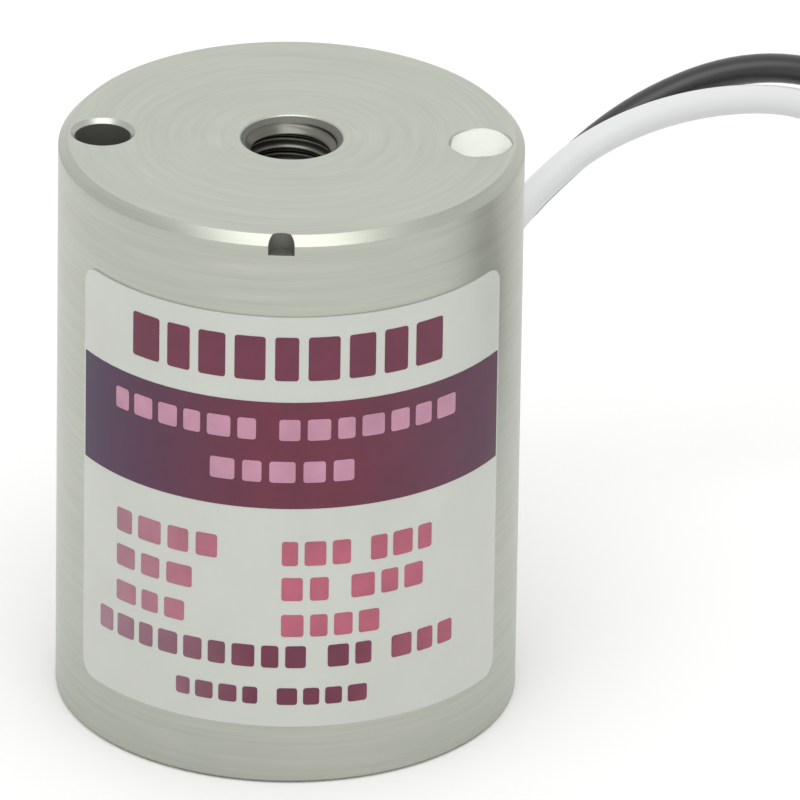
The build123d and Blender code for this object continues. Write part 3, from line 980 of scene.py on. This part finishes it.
class MAGNET_OT_lay_leads(bpy.types.Operator):
    """Lay the white and the black lead, each from the bush to its stripped end"""

    bl_idname = "magnet.lay_leads"
    bl_label = "Lay Leads"

    def execute(self, context):
        leads = context.scene.magnet_leads
        tin = tin_finish(leads.tin)
        colours = {"white": leads.white, "black": leads.black}
        for name, route, tail, stack, turns, real_length in LEADS:
            finish, surface = plain_plastic(
                name + "_lead_finish", colours[name], 0.36, patch_size=0.006, grain_size=0.0003,
                grain_depth=0.000003, contrast=0.05,
            )
            surface.inputs["Coat Weight"].default_value = 0.12
            surface.inputs["Coat Roughness"].default_value = 0.25
            coil = coil_points(leads, stack, turns)
            points = np.vstack([route, coil, tail_points(leads, stack, turns, tail)])
            lead = lead_curve(name + "_lead", points, leads.diameter, finish)
            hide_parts("lead_" + name, f"lead_{name}_coil")
            strands = self.strip_end(leads, name, points, tin)
        return {"FINISHED"}

    def strip_end(self, leads, name, points, tin):
        """Bundle of seven twisted strands at the lead's end: one in the middle and six round it."""
        direction = (points[-1] - points[-2]) / np.linalg.norm(points[-1] - points[-2])
        start = points[-1] - direction * leads.strand_hidden
        radius = leads.strand_bundle / 6
        reach = leads.strip_length + leads.strand_hidden
        twist = leads.strand_twist
        tubes = [closed_tube(strand_rings(start, direction, 0, 0, radius, reach, twist, 0))]
        for number in range(6):
            cut = reach - leads.strand_stagger * (number % 3)
            offset = 2 * radius * STRAND_PRESS
            rings = strand_rings(start, direction, number * pi / 3, offset, radius, cut, twist, STRAND_FLARE)
            tubes.append(closed_tube(rings))
        piece = add_piece(name + "_strands", *joined(tubes), tin, "tinned_strands", 60)
        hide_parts(f"lead_{name}_tip")
        return piece


# Operators: stage

def look_at(place, target, roll):
    """Placing of a camera or a light that looks at a target, turned about its own axis."""
    turned = (Vector(target) - Vector(place)).to_track_quat("-Z", "Y").to_matrix().to_4x4()
    return Matrix.Translation(place) @ turned @ Matrix.Rotation(roll, 4, "Z")


class MAGNET_OT_set_stage(bpy.types.Operator):
    """Set the floor, the lights and the camera"""

    bl_idname = "magnet.set_stage"
    bl_label = "Set Stage"

    def execute(self, context):
        studio = context.scene.magnet_studio
        self.lay_floor(studio)
        self.light_room(context.scene, studio)
        self.place_camera(context.scene, studio)
        return {"FINISHED"}

    def lay_floor(self, studio):
        """Wide plain floor."""
        side = np.linspace(-studio.floor_reach, studio.floor_reach, 9)
        x, y = np.meshgrid(side, side)
        points = np.stack([x, y, 0 * x], axis=-1).reshape(-1, 3)
        mesh = bpy.data.meshes.new("floor")
        mesh.from_pydata(points.tolist(), [], quads(side.size, side.size).tolist())
        paper = plain_plastic("floor_paper", studio.floor, 0.85, patch_size=0.5, contrast=0.01)[0]
        mesh.materials.append(paper)
        floor = bpy.data.objects.new("floor", mesh)
        bpy.context.scene.collection.objects.link(floor)

    def light_room(self, scene, studio):
        """Pale room that is brighter behind than beside the magnet, with a softbox over it."""
        world = bpy.data.worlds.new("room")
        world.use_nodes = True
        tree = world.node_tree
        around = add_node(tree, "ShaderNodeTexCoord").outputs["Generated"]
        direction = add_node(tree, "ShaderNodeSeparateXYZ", {0: around})
        beside = maths(tree, "MULTIPLY", direction.outputs["X"], direction.outputs["X"])
        behind = maths(tree, "MULTIPLY", direction.outputs["Y"], studio.sky_behind)
        loss = maths(tree, "MULTIPLY", beside, studio.sky_sides)
        brightness = maths(tree, "SUBTRACT", maths(tree, "ADD", behind, studio.sky), loss)
        background = tree.nodes["Background"]
        background.inputs["Color"].default_value = (1, 1, 1, 1)
        tree.links.new(brightness, background.inputs["Strength"])
        scene.world = world
        scene.view_settings.view_transform = "Standard"
        self.hang_softbox(scene, studio)

    def hang_softbox(self, scene, studio):
        """Softbox that the rim's chamfer mirrors. Its brightness doesn't depend on its size."""
        data = bpy.data.lights.new("softbox", "AREA")
        data.shape = "RECTANGLE"
        data.size = studio.softbox_width
        data.size_y = studio.softbox_depth
        data.energy = studio.softbox * pi * data.size * data.size_y
        light = bpy.data.objects.new("softbox", data)
        place = (0, -studio.softbox_forward, studio.softbox_height)
        light.matrix_world = look_at(place, (0, 0, BODY_HEIGHT / 2), 0)
        scene.collection.objects.link(light)

    def place_camera(self, scene, studio):
        """Camera that sees the body's middle at its place in the picture."""
        middle = Vector((0, 0, BODY_HEIGHT / 2))
        flat = cos(studio.elevation)
        outward = Vector((
            sin(studio.azimuth) * flat, -cos(studio.azimuth) * flat, sin(studio.elevation),
        ))
        place = middle + outward * studio.distance
        straight = look_at(place, middle, studio.roll)
        pixel = studio.field / IMAGE_SIDE
        right = straight.to_3x3() @ Vector((1, 0, 0)) * (IMAGE_SIDE / 2 - studio.middle_x) * pixel
        upward = straight.to_3x3() @ Vector((0, 1, 0)) * (studio.middle_y - IMAGE_SIDE / 2) * pixel
        data = bpy.data.cameras.new("camera")
        data.sensor_width = 36.0
        data.lens = data.sensor_width * studio.distance / studio.field
        data.clip_start = 0.01
        camera = bpy.data.objects.new("camera", data)
        camera.matrix_world = look_at(place, middle + right + upward, studio.roll)
        scene.collection.objects.link(camera)
        scene.camera = camera


class MAGNET_PT_panel(bpy.types.Panel):
    """Steps and settings of the magnet"""

    bl_label = "Holding Electromagnet"
    bl_idname = "MAGNET_PT_panel"
    bl_space_type = "VIEW_3D"
    bl_region_type = "UI"
    bl_category = "Magnet"

    def draw(self, context):
        for operator in OPERATORS:
            self.layout.operator(operator.bl_idname)
        for name, group in SETTINGS.items():
            box = self.layout.box()
            for key in group.__annotations__:
                box.prop(getattr(context.scene, name), key)


SETTINGS = {
    "magnet_steel": SteelSettings,
    "magnet_inside": InsideSettings,
    "magnet_potting": PottingSettings,
    "magnet_label": LabelSettings,
    "magnet_leads": LeadSettings,
    "magnet_studio": StudioSettings,
}
OPERATORS = (
    MAGNET_OT_finish_metal,
    MAGNET_OT_cut_thread,
    MAGNET_OT_finish_inside,
    MAGNET_OT_pour_bead,
    MAGNET_OT_print_label,
    MAGNET_OT_lay_leads,
    MAGNET_OT_set_stage,
)


def register():
    """Registers the settings, the operators and the panel."""
    for name, group in SETTINGS.items():
        bpy.utils.register_class(group)
        setattr(bpy.types.Scene, name, PointerProperty(type=group))
    for operator in OPERATORS:
        bpy.utils.register_class(operator)
    bpy.utils.register_class(MAGNET_PT_panel)


def unregister():
    """Takes away what register added."""
    bpy.utils.unregister_class(MAGNET_PT_panel)
    for operator in reversed(OPERATORS):
        bpy.utils.unregister_class(operator)
    for name, group in SETTINGS.items():
        delattr(bpy.types.Scene, name)
        bpy.utils.unregister_class(group)


def main():
    """Makes the whole scene."""
    register()
    bpy.ops.magnet.finish_metal()
    bpy.ops.magnet.cut_thread()
    bpy.ops.magnet.finish_inside()
    bpy.ops.magnet.pour_bead()
    bpy.ops.magnet.print_label()
    bpy.ops.magnet.lay_leads()
    bpy.ops.magnet.set_stage()


if __name__ == "__main__":
    main()
